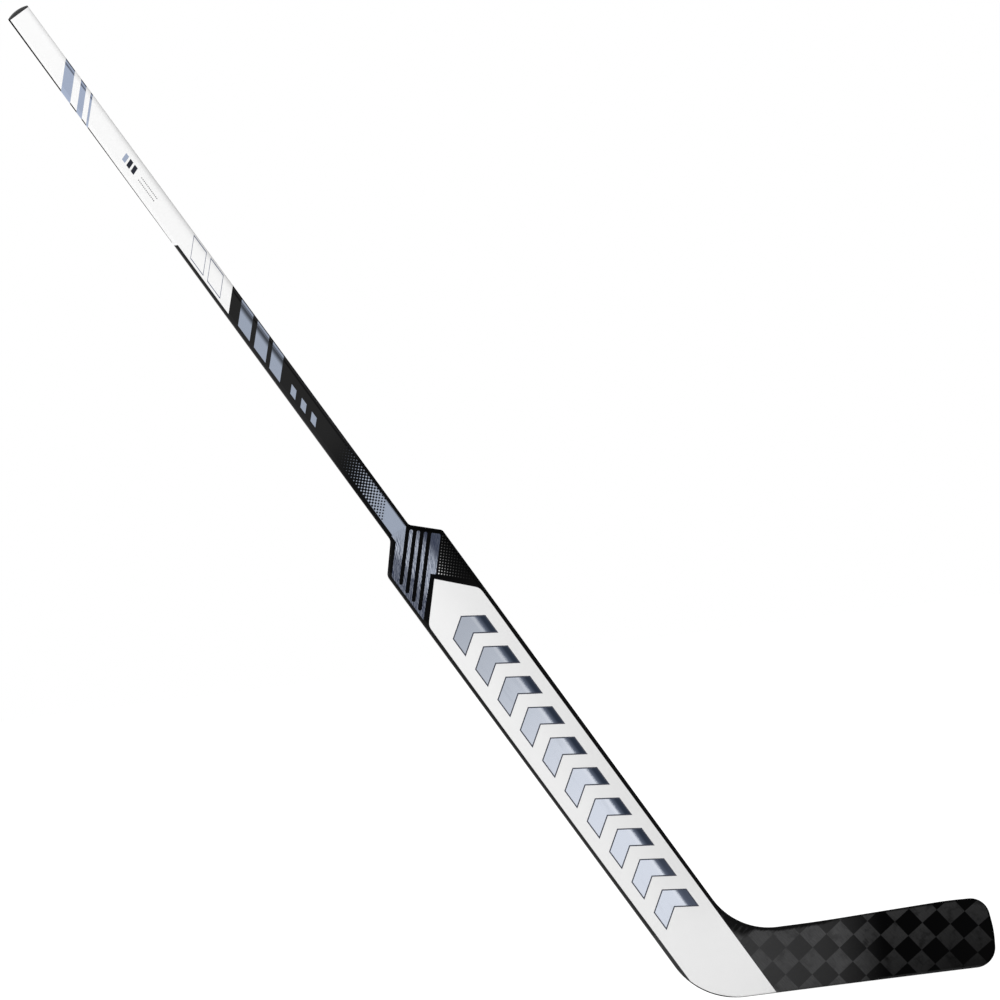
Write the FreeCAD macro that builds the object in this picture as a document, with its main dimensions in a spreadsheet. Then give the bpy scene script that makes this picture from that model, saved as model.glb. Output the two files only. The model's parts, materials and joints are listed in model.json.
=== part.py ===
"""Goalkeeper's ice hockey stick, a one-piece composite: carbon shaft, foam-cored paddle and curved blade.

Units are millimetres and degrees. +Z is up, the blade's sole lies on Z = 0, the toe points to +X and the
playing face looks to -Y. The origin is where the heel's curve meets the flat sole, midway through it.

Shaft and paddle are modelled in stick axes, which lean back from the ice by the lie angle: there Z runs
up the stick from the ice, X runs across it towards the toe side, and Y is the stick's own Y.
"""

import FreeCAD, Part
import os
import re
from math import cos, sin, sqrt, tan

import Sketcher
from FreeCAD import Placement, Rotation, Vector

DIMENSIONS = {
    "lie_angle": 61,  # between the stick and the ice
    # Shaft, its sizes along the stick counted from the ice
    "shaft_width": 29.6,
    "shaft_depth": 20,
    "shaft_wall": 2,
    "shaft_end": 1505,
    "edge_radius": 5.5,  # outside corners of shaft and paddle
    "glue_gap": 0.15,
    # End plug
    "plug_rim": 1.5,  # height of the cap in the middle of its narrow sides
    "plug_crown": 3,  # how far the cap's dome rises from there to its middle
    "plug_crown_fall": 1.8,  # how far it falls again from the middle to the front and back
    "plug_shank": 36,
    "plug_bore": 30,
    "plug_bore_corner": 0.6,
    "plug_wall": 2.2,
    "plug_rib_height": 0.5,
    "plug_rib_width": 2,
    "plug_rib_pitch": 10,
    "plug_rib_count": 3,
    "plug_rib_start": 5,
    # Paddle, its heights along the stick counted from the ice
    "neck": 716,  # where shaft and paddle meet
    "paddle_width": 88.9,
    "paddle_foot_width": 86.9,
    "face_taper": 0.1,  # of the paddle's front and of its back, from the neck to the joint
    "joint": 125,  # where the paddle's laminates meet the blade's
    "rail_width": 6,
    "skin": 1.2,
    # Shoulder, where each side flares from the shaft's width to the paddle's, counted down from the neck
    "toe_flare_start": 4,
    "toe_flare_end": 33.6,
    "toe_flare_hollow": 7,
    "toe_flare_round": 6.5,
    "heel_flare_start": 6,
    "heel_flare_end": 39.5,
    "heel_flare_hollow": 10,
    "heel_flare_round": 10,
    # Joints inside
    "spar_wall": 1.8,
    "spar_foot": 62,
    "insert_shank": 70,
    "insert_tongue": 60,
    "insert_tongue_corner": 1,
    "shoulder_block_length": 76,
    # Slide grip on the shoulder, its heights counted down from the neck on the centre line
    "grip_relief": 0.5,
    "grip_angle": 46.6,  # between the slots and a line across the stick
    "grip_border": 4.2,
    "grip_head_border": 5.5,  # from the toe-side flare to the upper ends of the bars
    "grip_start": 2.6,
    "grip_slot_width": 4.9,
    "grip_slot_start": 18.8,
    "grip_slot_margin": 9.15,  # from the paddle's side to the centres of the slots' closed ends
    "grip_slot_pitch": 13.1,
    "grip_slot_count": 4,
    "grip_first_bar_width": 10,
    "grip_last_bar_width": 5.1,  # on the centre line
    "grip_last_bar_angle": 45,  # of its lower edge
    "grip_tab_width": 11.8,  # of the broad tab at the last bar's upper end
    "grip_tab_end": 67.9,
    "grip_finger_round": 1.9,
    # Blade outline
    "heel_radius": 92,
    "throat_radius": 85,
    "waist": 100,
    "waist_height": 80.5,
    "waist_round": 1500,
    "crest": 262,
    "crest_height": 86.4,
    "crest_round": 450,
    "toe_head": 309.1,
    "toe_head_height": 85.3,
    "toe_head_round": 24,
    "toe_tip": 314.9,
    "toe_tip_height": 43.2,
    "toe_tip_round": 120,
    "toe_foot": 312.7,
    "toe_foot_round": 25,
    # Blade form
    "curve_start": 56,
    "curve_radius": 790,
    "toe_lean": 7,  # of the top edge, away from the playing face
    "toe_depth": 9,
    "toe_top_depth": 6.8,
    "edge_width": 6,
    "blade_edge_radius": 2.4,
    "heel_block_end": 48,
    "blade_rib_depth": 3,
    "blade_rib_height": 42,
}

OVERRUN = 20  # how far cutting shapes reach past what they cut
TOUCHING = 0.001  # edges this near to each other meet
FACING = 0.8  # least part of a face's normal along Y for it to count as front or back
BLADE_STATIONS = 6  # points on each curve of the blade's plan
TOP_STATION = 140  # height of the blade form's upper plan, above all that is cut from it

STICK_LEAN = "lie_angle - 90"
STICK_FOOT = "(paddle_foot_width / 2 - heel_radius * (1 - cos(lie_angle))) / sin(lie_angle)"
BORE_WIDTH = "shaft_width - 2 * shaft_wall"
BORE_DEPTH = "shaft_depth - 2 * shaft_wall"
BORE_CORNER = "edge_radius - shaft_wall"
CROWN_BOW = "((shaft_depth^2 / 4 + plug_crown_fall^2) / (2 * plug_crown_fall))"  # radius across the depth
SPAR_WIDTH = "shaft_width - 2 * rail_width"
TOE_FLARE_TOP = "(neck - toe_flare_start)"
TOE_FLARE_FOOT = "(neck - toe_flare_end)"
HEEL_FLARE_TOP = "(neck - heel_flare_start)"
HEEL_FLARE_FOOT = "(neck - heel_flare_end)"
SHOULDER_BLOCK_FOOT = "(neck - shoulder_block_length)"
SLOT_REACH = "(paddle_width / 2 - grip_slot_margin)"  # from the centre line to the slots' closed ends
SLOT_LINE = "(neck - grip_slot_start)"  # where the first slot crosses the centre line
TOE_FLARE_SLOPE = "((toe_flare_end - toe_flare_start) * 2 / (paddle_width - shaft_width))"
PADDLE_FOOT_DEPTH = "(shaft_depth - 2 * (neck - joint) * tan(face_taper))"
PADDLE_SPAN = "(2 * paddle_width)"
PADDLE_BLOCK_DEPTH = "(2 * shaft_depth)"
BLADE_BLOCK_DEPTH = "(8 * shaft_depth)"  # room for the blade's curve

document = FreeCAD.newDocument("goalkeeper_stick")
sheet = document.addObject("Spreadsheet::Sheet", "Dims")


def fill_sheet():
    for row, (name, size) in enumerate(DIMENSIONS.items(), start=1):
        sheet.set(f"A{row}", name)
        sheet.set(f"B{row}", str(size))
        sheet.setAlias(f"B{row}", name)
    document.recompute()


def from_sheet(expression):
    """The expression with each name of the sheet written as another object has to write it."""
    def full_name(word):
        return f"Dims.{word[0]}" if word[0] in DIMENSIONS else word[0]

    return re.sub(r"[a-z_]+", full_name, expression)


def value(expression):
    return float(sheet.evalExpression(from_sheet(expression)))


def bind(item, path, expression):
    item.setExpression(path, from_sheet(expression))


# Bodies, sketches and features


def new_body(label, on_stick=True):
    body = document.addObject("PartDesign::Body", label)
    if on_stick:
        body.Placement = stick_axes()
        bind(body, "Placement.Base.x", STICK_FOOT)
        bind(body, "Placement.Rotation.Angle", STICK_LEAN)
    return body


def stick_axes():
    return Placement(Vector(value(STICK_FOOT), 0, 0), Rotation(Vector(0, 1, 0), value(STICK_LEAN)))


def new_sketch(body, role, height=None):
    """A sketch on one of the body's origin planes, raised along the plane's normal by the height."""
    sketch = body.newObject("Sketcher::SketchObject", f"{body.Name}_sketch")
    plane = next(item for item in body.Origin.OriginFeatures if item.Role == role)
    sketch.AttachmentSupport = [(plane, "")]
    sketch.MapMode = "FlatFace"
    if height is not None:
        bind(sketch, "AttachmentOffset.Base.z", height)
    return sketch


def add_dimension(sketch, kind, geometry, expression):
    """A constraint whose value is bound to the sheet."""
    index = sketch.addConstraint(Sketcher.Constraint(kind, *geometry, value(expression)))
    bind(sketch, f"Constraints[{index}]", expression)


def draw_outline(sketch, corners):
    """A closed outline. Each corner has its distances across and up, and a radius if it is rounded."""
    corners = [(*corner, None)[:3] for corner in corners]
    points = [Vector(value(across), value(up), 0) for across, up, radius in corners]
    bends = []
    for step, (across, up, radius) in enumerate(corners):
        point = points[step]
        arriving = (point - points[step - 1]).normalize()
        leaving = (points[(step + 1) % len(points)] - point).normalize()
        bends.append(bend(point, arriving, leaving, value(radius) if radius else 0))
    lines = []
    for step, (_, departure, _, _) in enumerate(bends):
        next_arrival = bends[(step + 1) % len(bends)][0]
        lines.append(sketch.addGeometry(Part.LineSegment(departure, next_arrival), False))
    for step, (across, up, radius) in enumerate(corners):
        before, after = lines[step - 1], lines[step]
        _, _, arc, turns_left = bends[step]
        if arc is None:
            sketch.addConstraint(Sketcher.Constraint("Coincident", before, 2, after, 1))
            corner = (after, 1)
        else:
            turn = sketch.addGeometry(arc, False)
            corner = (sketch.addGeometry(Part.Point(points[step]), True), 1)
            first, last = (1, 2) if turns_left else (2, 1)
            sketch.addConstraint(Sketcher.Constraint("Tangent", before, 2, turn, first))
            sketch.addConstraint(Sketcher.Constraint("Tangent", turn, last, after, 1))
            sketch.addConstraint(Sketcher.Constraint("PointOnObject", *corner, before))
            sketch.addConstraint(Sketcher.Constraint("PointOnObject", *corner, after))
            add_dimension(sketch, "Radius", (turn,), radius)
        add_dimension(sketch, "DistanceX", (-1, 1, *corner), across)
        add_dimension(sketch, "DistanceY", (-1, 1, *corner), up)


def bend(point, arriving, leaving, radius):
    """Where a corner's arc begins and ends, the arc itself, and whether the outline turns left there."""
    if not radius:
        return point, point, None, None
    half_turn = arriving.getAngle(leaving) / 2
    start = point - arriving * radius * tan(half_turn)
    end = point + leaving * radius * tan(half_turn)
    middle = point + (leaving - arriving).normalize() * radius * (1 / cos(half_turn) - 1)
    turns_left = arriving.cross(leaving).z > 0
    arc = Part.Arc(start, middle, end) if turns_left else Part.Arc(end, middle, start)
    return start, end, arc, turns_left


def draw_rounded_rectangle(sketch, width, depth, corner):
    """A rectangle about the sketch's origin with equal rounded corners."""
    half_width = value(width) / 2
    half_depth = value(depth) / 2
    radius = value(corner)
    first = sketch.GeometryCount
    sides = []
    turns = ((1, 0), (0, 1), (-1, 0), (0, -1))
    for turn, (along_x, along_y) in enumerate(turns):
        along = Vector(along_x, along_y, 0)
        out = Vector(along_y, -along_x, 0)
        reach = half_width if along_y else half_depth
        half_length = (half_depth if along_y else half_width) - radius
        start = out * reach - along * half_length
        end = out * reach + along * half_length
        sides.append(sketch.addGeometry(Part.LineSegment(start, end), False))
        centre = end - out * radius
        circle = Part.Circle(centre, Vector(0, 0, 1), radius)
        arc_start = (turn - 1) * 90
        arc = Part.ArcOfCircle(circle, radians_of(arc_start), radians_of(arc_start + 90))
        sketch.addGeometry(arc, False)
    for step in range(8):
        sketch.addConstraint(Sketcher.Constraint("Tangent", first + step, 2, first + (step + 1) % 8, 1))
    for side, kind in zip(sides, ("Horizontal", "Vertical", "Horizontal", "Vertical")):
        sketch.addConstraint(Sketcher.Constraint(kind, side))
    for arc in (3, 5, 7):
        sketch.addConstraint(Sketcher.Constraint("Equal", first + 1, first + arc))
    sketch.addConstraint(Sketcher.Constraint("Symmetric", sides[0], 1, sides[2], 1, -1, 1))
    add_dimension(sketch, "Radius", (first + 1,), corner)
    add_dimension(sketch, "DistanceX", (sides[3], 1, sides[1], 1), width)
    add_dimension(sketch, "DistanceY", (sides[0], 1, sides[2], 1), depth)


def radians_of(degrees):
    return FreeCAD.Units.Quantity(f"{degrees} deg").getValueAs("rad").Value


def add_feature(body, kind, sketch, length, middle=False, reverse=False):
    feature = body.newObject(f"PartDesign::{kind}", f"{body.Name}_{kind.lower()}")
    feature.Profile = sketch
    feature.Midplane = middle
    feature.Reversed = reverse
    bind(feature, "Length", length)
    document.recompute()
    return feature


def prism(label, role, corners, length, on_stick=True):
    """A body made of one polygon, padded equally to both sides of its plane."""
    body = new_body(label, on_stick)
    sketch = new_sketch(body, role)
    draw_outline(sketch, corners)
    add_feature(body, "Pad", sketch, length, middle=True)
    return body


def boolean(kind, label, base, tool):
    result = document.addObject(f"Part::{kind}", label)
    result.Base = base
    result.Tool = tool
    document.recompute()
    return result


def common(label, base, *tools):
    """What all the shapes share; only the last step carries the label."""
    for number, tool in enumerate(tools, start=1):
        name = label if number == len(tools) else f"{label}_step"
        base = boolean("Common", name, base, tool)
    return base


def held_shape(label, shape):
    holder = document.addObject("Part::Feature", label)
    holder.Shape = shape
    return holder


# Shaft


def shaft_tube():
    body = new_body("shaft_tube")
    sketch = new_sketch(body, "XY_Plane", "neck")
    draw_rounded_rectangle(sketch, "shaft_width", "shaft_depth", "edge_radius")
    draw_rounded_rectangle(sketch, BORE_WIDTH, BORE_DEPTH, BORE_CORNER)
    add_feature(body, "Pad", sketch, "shaft_end - neck")
    return body


def end_plug():
    body = new_body("end_plug")
    cap = new_sketch(body, "XY_Plane", "shaft_end")
    draw_rounded_rectangle(cap, "shaft_width", "shaft_depth", "edge_radius")
    add_feature(body, "Pad", cap, "plug_rim + plug_crown")
    above = new_sketch(body, "XZ_Plane")
    bind(above, "AttachmentOffset.Base.y", f"shaft_end + plug_rim + plug_crown - {CROWN_BOW}")
    draw_above_dome(above, "shaft_width / 2", "plug_crown", CROWN_BOW)
    dome = body.newObject("PartDesign::Groove", "end_plug_dome")
    dome.Profile = above
    dome.ReferenceAxis = (above, ["H_Axis"])
    dome.Angle = 360
    document.recompute()

    shank_inset = "2 * (glue_gap + plug_rib_height)"
    shank = new_sketch(body, "XY_Plane", "shaft_end")
    draw_rounded_rectangle(shank, f"{BORE_WIDTH} - {shank_inset}", f"{BORE_DEPTH} - {shank_inset}",
                           f"{BORE_CORNER} - {shank_inset} / 2")
    add_feature(body, "Pad", shank, "plug_shank", reverse=True)
    rib = new_sketch(body, "XY_Plane", "shaft_end - plug_rib_start")
    draw_rounded_rectangle(rib, f"{BORE_WIDTH} - 2 * glue_gap", f"{BORE_DEPTH} - 2 * glue_gap",
                           f"{BORE_CORNER} - glue_gap")
    rib_pad = add_feature(body, "Pad", rib, "plug_rib_width", reverse=True)
    ribs = body.newObject("PartDesign::LinearPattern", "end_plug_ribs")
    ribs.Originals = [rib_pad]
    ribs.Direction = (rib, ["N_Axis"])
    ribs.Reversed = True
    bind(ribs, "Length", "plug_rib_pitch * (plug_rib_count - 1)")
    bind(ribs, "Occurrences", "plug_rib_count")
    body.Tip = ribs
    document.recompute()

    hollow = new_sketch(body, "XY_Plane", "shaft_end - plug_shank")
    hollow_inset = f"({shank_inset} + 2 * plug_wall)"
    draw_rounded_rectangle(hollow, f"{BORE_WIDTH} - {hollow_inset}", f"{BORE_DEPTH} - {hollow_inset}",
                           "plug_bore_corner")
    add_feature(body, "Pocket", hollow, "plug_bore", reverse=True)
    return body


def draw_above_dome(sketch, half, rise, top):
    """What lies above an arc that rises to the top in its middle, drawn on past both ends of the arc."""
    foot = f"({top} - {rise})"
    beyond = f"({half} + {OVERRUN})"
    roof = f"({top} + {OVERRUN})"
    corners = [(half, foot), (beyond, foot), (beyond, roof),
               (f"-{beyond}", roof), (f"-{beyond}", foot), (f"-{half}", foot)]
    points = [Vector(value(across), value(up), 0) for across, up in corners]
    lines = [sketch.addGeometry(Part.LineSegment(*ends), False) for ends in zip(points, points[1:])]
    arc = sketch.addGeometry(Part.Arc(points[0], Vector(0, value(top), 0), points[-1]), False)
    for before, after in zip(lines, lines[1:]):
        sketch.addConstraint(Sketcher.Constraint("Coincident", before, 2, after, 1))
    sketch.addConstraint(Sketcher.Constraint("Coincident", arc, 1, lines[0], 1))
    sketch.addConstraint(Sketcher.Constraint("Coincident", arc, 2, lines[-1], 2))
    ends = [(line, 1) for line in lines] + [(lines[-1], 2)]
    for (across, up), end in zip(corners, ends):
        add_dimension(sketch, "DistanceX", (-1, 1, *end), across)
        add_dimension(sketch, "DistanceY", (-1, 1, *end), up)
    add_dimension(sketch, "Radius", (arc,), f"(({half})^2 + {rise}^2) / (2 * {rise})")


def neck_insert():
    """Stepped plug: its shank fills the shaft's bore and its tongue fills the spar's."""
    body = new_body("neck_insert")
    shank = new_sketch(body, "XY_Plane", "neck")
    draw_rounded_rectangle(shank, f"{BORE_WIDTH} - 2 * glue_gap", f"{BORE_DEPTH} - 2 * glue_gap",
                           f"{BORE_CORNER} - glue_gap")
    add_feature(body, "Pad", shank, "insert_shank")
    tongue = new_sketch(body, "XY_Plane", "neck")
    tongue_depth = f"{paddle_depth('(neck - insert_tongue)')} - 2 * (skin + spar_wall + glue_gap)"
    draw_rounded_rectangle(tongue, f"{SPAR_WIDTH} - 2 * (spar_wall + glue_gap)", tongue_depth,
                           "insert_tongue_corner")
    add_feature(body, "Pad", tongue, "insert_tongue", reverse=True)
    return body


# Paddle


def paddle_depth(height):
    """Depth of the paddle at a height along the stick: it thins evenly from the neck to the joint."""
    return f"(shaft_depth - 2 * (neck - {height}) * tan(face_taper))"


def depth_profile(inset, foot):
    """Outline in the YZ plane: both faces stand in by the inset, and below the joint they run straight."""
    top = f"({paddle_depth('neck')} / 2 - {inset})"
    joint = f"({paddle_depth('joint')} / 2 - {inset})"
    below = [] if foot == "joint" else [(f"-{joint}", foot), (joint, foot)]
    return [(top, "neck"), (f"-{top}", "neck"), (f"-{joint}", "joint"), *below, (joint, "joint")]


def sheet_profile(side, inner, outer):
    """Outline in the YZ plane of a layer on the front (-1) or back (1), between two depths from the face."""
    rows = []
    for height, order in (("neck", (outer, inner)), ("joint", (inner, outer))):
        for level in order:
            rows.append((f"{side} * ({paddle_depth(height)} / 2 + {level})", height))
    return rows


def paddle_outline():
    """The paddle's prism seen from the front, running past the joint and the neck."""
    half = "paddle_width / 2"
    shaft_half = "shaft_width / 2"
    foot = f"(joint - {OVERRUN})"
    taper = "(paddle_width - paddle_foot_width) / 2"
    heel_foot = f"{half} - {taper} * ({HEEL_FLARE_FOOT} - {foot}) / ({HEEL_FLARE_FOOT} - joint)"
    toe_foot = f"{half} - {taper} * ({TOE_FLARE_FOOT} - {foot}) / ({TOE_FLARE_FOOT} - joint)"
    corners = [
        (f"-({heel_foot})", foot),
        (toe_foot, foot),
        (half, TOE_FLARE_FOOT, "toe_flare_round"),
        (shaft_half, TOE_FLARE_TOP, "toe_flare_hollow"),
        (shaft_half, f"neck + {OVERRUN}"),
        (f"-{shaft_half}", f"neck + {OVERRUN}"),
        (f"-{shaft_half}", HEEL_FLARE_TOP, "heel_flare_hollow"),
        (f"-{half}", HEEL_FLARE_FOOT, "heel_flare_round"),
    ]
    return prism("paddle_outline", "XZ_Plane", corners, PADDLE_BLOCK_DEPTH)


def inset_prism(label, body, inset, depth):
    """A prism of the body's front outline moved in by the inset, as deep as the body."""
    front = min(body.Shape.Faces, key=lambda face: (face.normalAt(0, 0).y, face.CenterOfMass.y))
    outline = front.makeOffset2D(-value(inset))
    return held_shape(label, outline.extrude(Vector(0, value(depth), 0)))


def rim_edges(shape, ends):
    """Numbers of the edges where the front or back meets a side, without those on the end planes."""
    numbers = []
    for number, edge in enumerate(shape.Edges, start=1):
        faces = shape.ancestorsOfType(edge, Part.Face)
        facing = [abs(normal_at(face, edge).y) > FACING for face in faces]
        if sum(facing) == 1 and not any(lies_along(edge, plane) for plane in ends):
            numbers.append(number)
    return numbers


def normal_at(face, edge):
    middle = edge.valueAt((edge.FirstParameter + edge.LastParameter) / 2)
    across, along = face.Surface.parameter(middle)
    return face.normalAt(across, along)


def lies_along(edge, plane):
    return all(lies_in(vertex.Point, plane) for vertex in edge.Vertexes)


def lies_in(point, plane):
    origin, normal = plane
    return abs((point - origin).dot(normal)) < TOUCHING


def stick_plane(height):
    """The plane across the stick at a height along it."""
    axes = stick_axes()
    up = axes.Rotation.multVec(Vector(0, 0, 1))
    return axes.Base + up * value(height), up


def rim_chains(shape, ends):
    """The rim's edges, grouped where they run on into each other, as lists of edge numbers."""
    waiting = rim_edges(shape, ends)
    chains = []
    while waiting:
        chain = [waiting.pop()]
        for number in chain:
            for other in list(waiting):
                if shape.Edges[number - 1].distToShape(shape.Edges[other - 1])[0] < TOUCHING:
                    chain.append(other)
                    waiting.remove(other)
        chains.append(chain)
    return chains


def loose_ends(shape, chain):
    """The two ends of an open chain, each as an edge number and a point; none if it is closed."""
    tips = []
    for number in chain:
        edge = shape.Edges[number - 1]
        others = [shape.Edges[other - 1] for other in chain if other != number]
        for parameter in (edge.FirstParameter, edge.LastParameter):
            point = edge.valueAt(parameter)
            if all(other.distToShape(Part.Vertex(point))[0] > TOUCHING for other in others):
                tips.append((number, point))
    return tips


def rounded_rim(label, block, ends, radius_at):
    """The block with its front and back rims rounded, from the radius at one end to that at the other."""
    shape = block.Shape
    contours = []
    for chain in rim_chains(shape, ends):
        (number, near), (_, far) = loose_ends(shape, chain)
        edge = shape.Edges[number - 1]
        radii = (radius_at(near), radius_at(far))
        runs_on = edge.valueAt(edge.FirstParameter).distanceToPoint(near) < TOUCHING
        contours.append((number, *(radii if runs_on else radii[::-1])))
    result = document.addObject("Part::Fillet", label)
    result.Base = block
    result.Edges = contours
    document.recompute()
    return result


def block_on_stick(label, left, right, low, high):
    """A block in stick axes, deeper than anything it cuts."""
    corners = [(left, low), (right, low), (right, high), (left, high)]
    return prism(label, "XZ_Plane", corners, BLADE_BLOCK_DEPTH)


def block_on_ice(label, left, right, low, high):
    corners = [(left, low), (right, low), (right, high), (left, high)]
    return prism(label, "XZ_Plane", corners, BLADE_BLOCK_DEPTH, on_stick=False)


def paddle():
    outline = paddle_outline()
    depth = prism("paddle_depth_block", "YZ_Plane", depth_profile("0", "joint"), PADDLE_SPAN)
    block = common("paddle_block", outline, depth)
    radius = value("edge_radius")
    ends = [stick_plane("neck"), stick_plane("joint")]
    form = rounded_rim("paddle_form", block, ends, lambda point: radius)

    inside = inset_prism("paddle_inside", outline, "rail_width", PADDLE_BLOCK_DEPTH)
    rails = boolean("Cut", "paddle_rails", form, inside)
    parts = []
    for side, left, right in (("heel_side", f"-{PADDLE_SPAN}", "0"), ("toe_side", "0", PADDLE_SPAN)):
        half = block_on_stick(side, left, right, f"joint - {OVERRUN}", f"neck + {OVERRUN}")
        parts.append(common(f"paddle_rail_{side}", rails, half))

    for side, name in (("-1", "front"), ("1", "back")):
        layer = prism(f"skin_layer_{name}", "YZ_Plane", sheet_profile(side, "-skin", "0"), PADDLE_SPAN)
        parts.append(common(f"paddle_skin_{name}", inside, layer))

    filling = prism("paddle_filling", "YZ_Plane", depth_profile("skin", "joint"), PADDLE_SPAN)
    cavity = common("paddle_cavity", inside, filling)
    spar_half = f"({SPAR_WIDTH}) / 2"
    sides = (("heel_side", f"-{PADDLE_SPAN}", f"-{spar_half}"), ("toe_side", spar_half, PADDLE_SPAN))
    levels = (("paddle_core", "joint", SHOULDER_BLOCK_FOOT),
              ("shoulder_block", SHOULDER_BLOCK_FOOT, "neck"))
    for side, left, right in sides:
        for piece, low, high in levels:
            region = block_on_stick(f"{piece}_{side}_region", left, right, low, high)
            parts.append(common(f"{piece}_{side}", cavity, region))
    return outline, parts


def paddle_spar():
    """Box that runs from the neck down into the heel, between the paddle's two laminates."""
    body = prism("paddle_spar", "YZ_Plane", depth_profile("skin", "spar_foot"), SPAR_WIDTH)
    bore = new_sketch(body, "YZ_Plane")
    draw_outline(bore, depth_profile("(skin + spar_wall)", f"(spar_foot - {OVERRUN})"))
    add_feature(body, "Pocket", bore, f"{SPAR_WIDTH} - 2 * spar_wall", middle=True)
    return body


def spar_core():
    """Foam that fills the spar below the neck insert's tongue."""
    core = prism("spar_core_full", "YZ_Plane", depth_profile("(skin + spar_wall)", "spar_foot"),
                 f"{SPAR_WIDTH} - 2 * spar_wall")
    below = block_on_stick("below_tongue", f"-{PADDLE_SPAN}", PADDLE_SPAN, "0", "neck - insert_tongue")
    return common("spar_core", core, below)


def grip_bars(outline):
    """Raised bars for the upper hand: slanted slots in a field that keeps clear of the paddle's outline."""
    half = "paddle_width / 2"
    neck_half = "(shaft_width / 2 - grip_border)"
    side = "(paddle_width / 2 - grip_head_border)"
    top = "(neck - grip_start)"
    # Slanted edges, each given by its height on the centre line and the rise of its slope
    rise = "tan(grip_angle)"
    heads = f"({TOE_FLARE_TOP} + {TOE_FLARE_SLOPE} * shaft_width / 2" \
            f" - grip_head_border * sqrt(1 + {TOE_FLARE_SLOPE}^2))"
    last_slot = f"{SLOT_LINE} - grip_slot_pitch * (grip_slot_count - 1)"
    first_edge = f"({SLOT_LINE} + (grip_slot_width / 2 + grip_first_bar_width) / cos(grip_angle))"
    bar_edge = f"({last_slot} - (grip_slot_width / 2 + grip_last_bar_width) / cos(grip_angle))"
    tab_edge = f"({last_slot} - (grip_slot_width / 2 + grip_tab_width) / cos(grip_angle))"
    tab_end = "(neck - grip_tab_end)"
    corners = [
        (neck_half, top),
        (f"-{neck_half}", top),
        (f"-{neck_half}", f"{first_edge} - {rise} * {neck_half}"),
        (f"-{half}", f"{first_edge} - {rise} * {half}"),
        (f"-{half}", f"{bar_edge} - tan(grip_last_bar_angle) * {half}"),
        crossing(tab_end, "-1 / tan(grip_angle)", bar_edge, "tan(grip_last_bar_angle)"),
        crossing(tab_end, "-1 / tan(grip_angle)", tab_edge, rise),
        (side, f"{tab_edge} + {rise} * {side}"),
        (side, f"{heads} - {TOE_FLARE_SLOPE} * {side}"),
        (neck_half, f"{heads} - {TOE_FLARE_SLOPE} * {neck_half}"),
    ]
    comb = prism("grip_comb", "XZ_Plane", corners, PADDLE_BLOCK_DEPTH)
    slot = new_sketch(comb, "XZ_Plane")
    draw_slot(slot)
    cut = add_feature(comb, "Pocket", slot, PADDLE_BLOCK_DEPTH, middle=True)
    slots = comb.newObject("PartDesign::LinearPattern", "grip_slots")
    slots.Originals = [cut]
    slots.Direction = (slot, ["V_Axis"])
    slots.Reversed = True
    bind(slots, "Length", "grip_slot_pitch * (grip_slot_count - 1)")
    bind(slots, "Occurrences", "grip_slot_count")
    comb.Tip = slots
    document.recompute()

    field = inset_prism("grip_field", outline, "grip_border", PADDLE_BLOCK_DEPTH)
    bars = rounded_fingers(common("grip_bars", comb, field))
    parts = []
    for side, name in (("-1", "front"), ("1", "back")):
        layer = prism(f"grip_layer_{name}", "YZ_Plane", sheet_profile(side, "0", "grip_relief"), PADDLE_SPAN)
        parts.append(common(f"grip_bars_{name}", bars, layer))
    return parts


def crossing(first_height, first_rise, second_height, second_rise):
    """Where two slanted lines cross, each given by its height on the centre line and its rise."""
    across = f"(({first_height} - {second_height}) / ({second_rise} - ({first_rise})))"
    return across, f"({second_height} + {second_rise} * {across})"


def rounded_fingers(bars):
    """The bars with the corners of their upper ends rounded, all along a line beside the toe-side flare."""
    out = Vector(value(TOE_FLARE_SLOPE), 0, 1).normalize()
    reach = out.dot(Vector(value("shaft_width / 2"), 0, value(TOE_FLARE_TOP))) - value("grip_head_border")
    radius = value("grip_finger_round")
    to_stick = stick_axes().inverse()
    corners = []
    for number, edge in enumerate(bars.Shape.Edges, start=1):
        start, end = [to_stick.multVec(edge.valueAt(at)) for at in edge.ParameterRange]
        across_depth = abs(end.y - start.y) > edge.Length - TOUCHING
        if across_depth and abs(out.dot(start) - reach) < TOUCHING:
            corners.append((number, radius, radius))
    result = document.addObject("Part::Fillet", "grip_fingers")
    result.Base = bars
    result.Edges = corners
    document.recompute()
    return result


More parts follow.
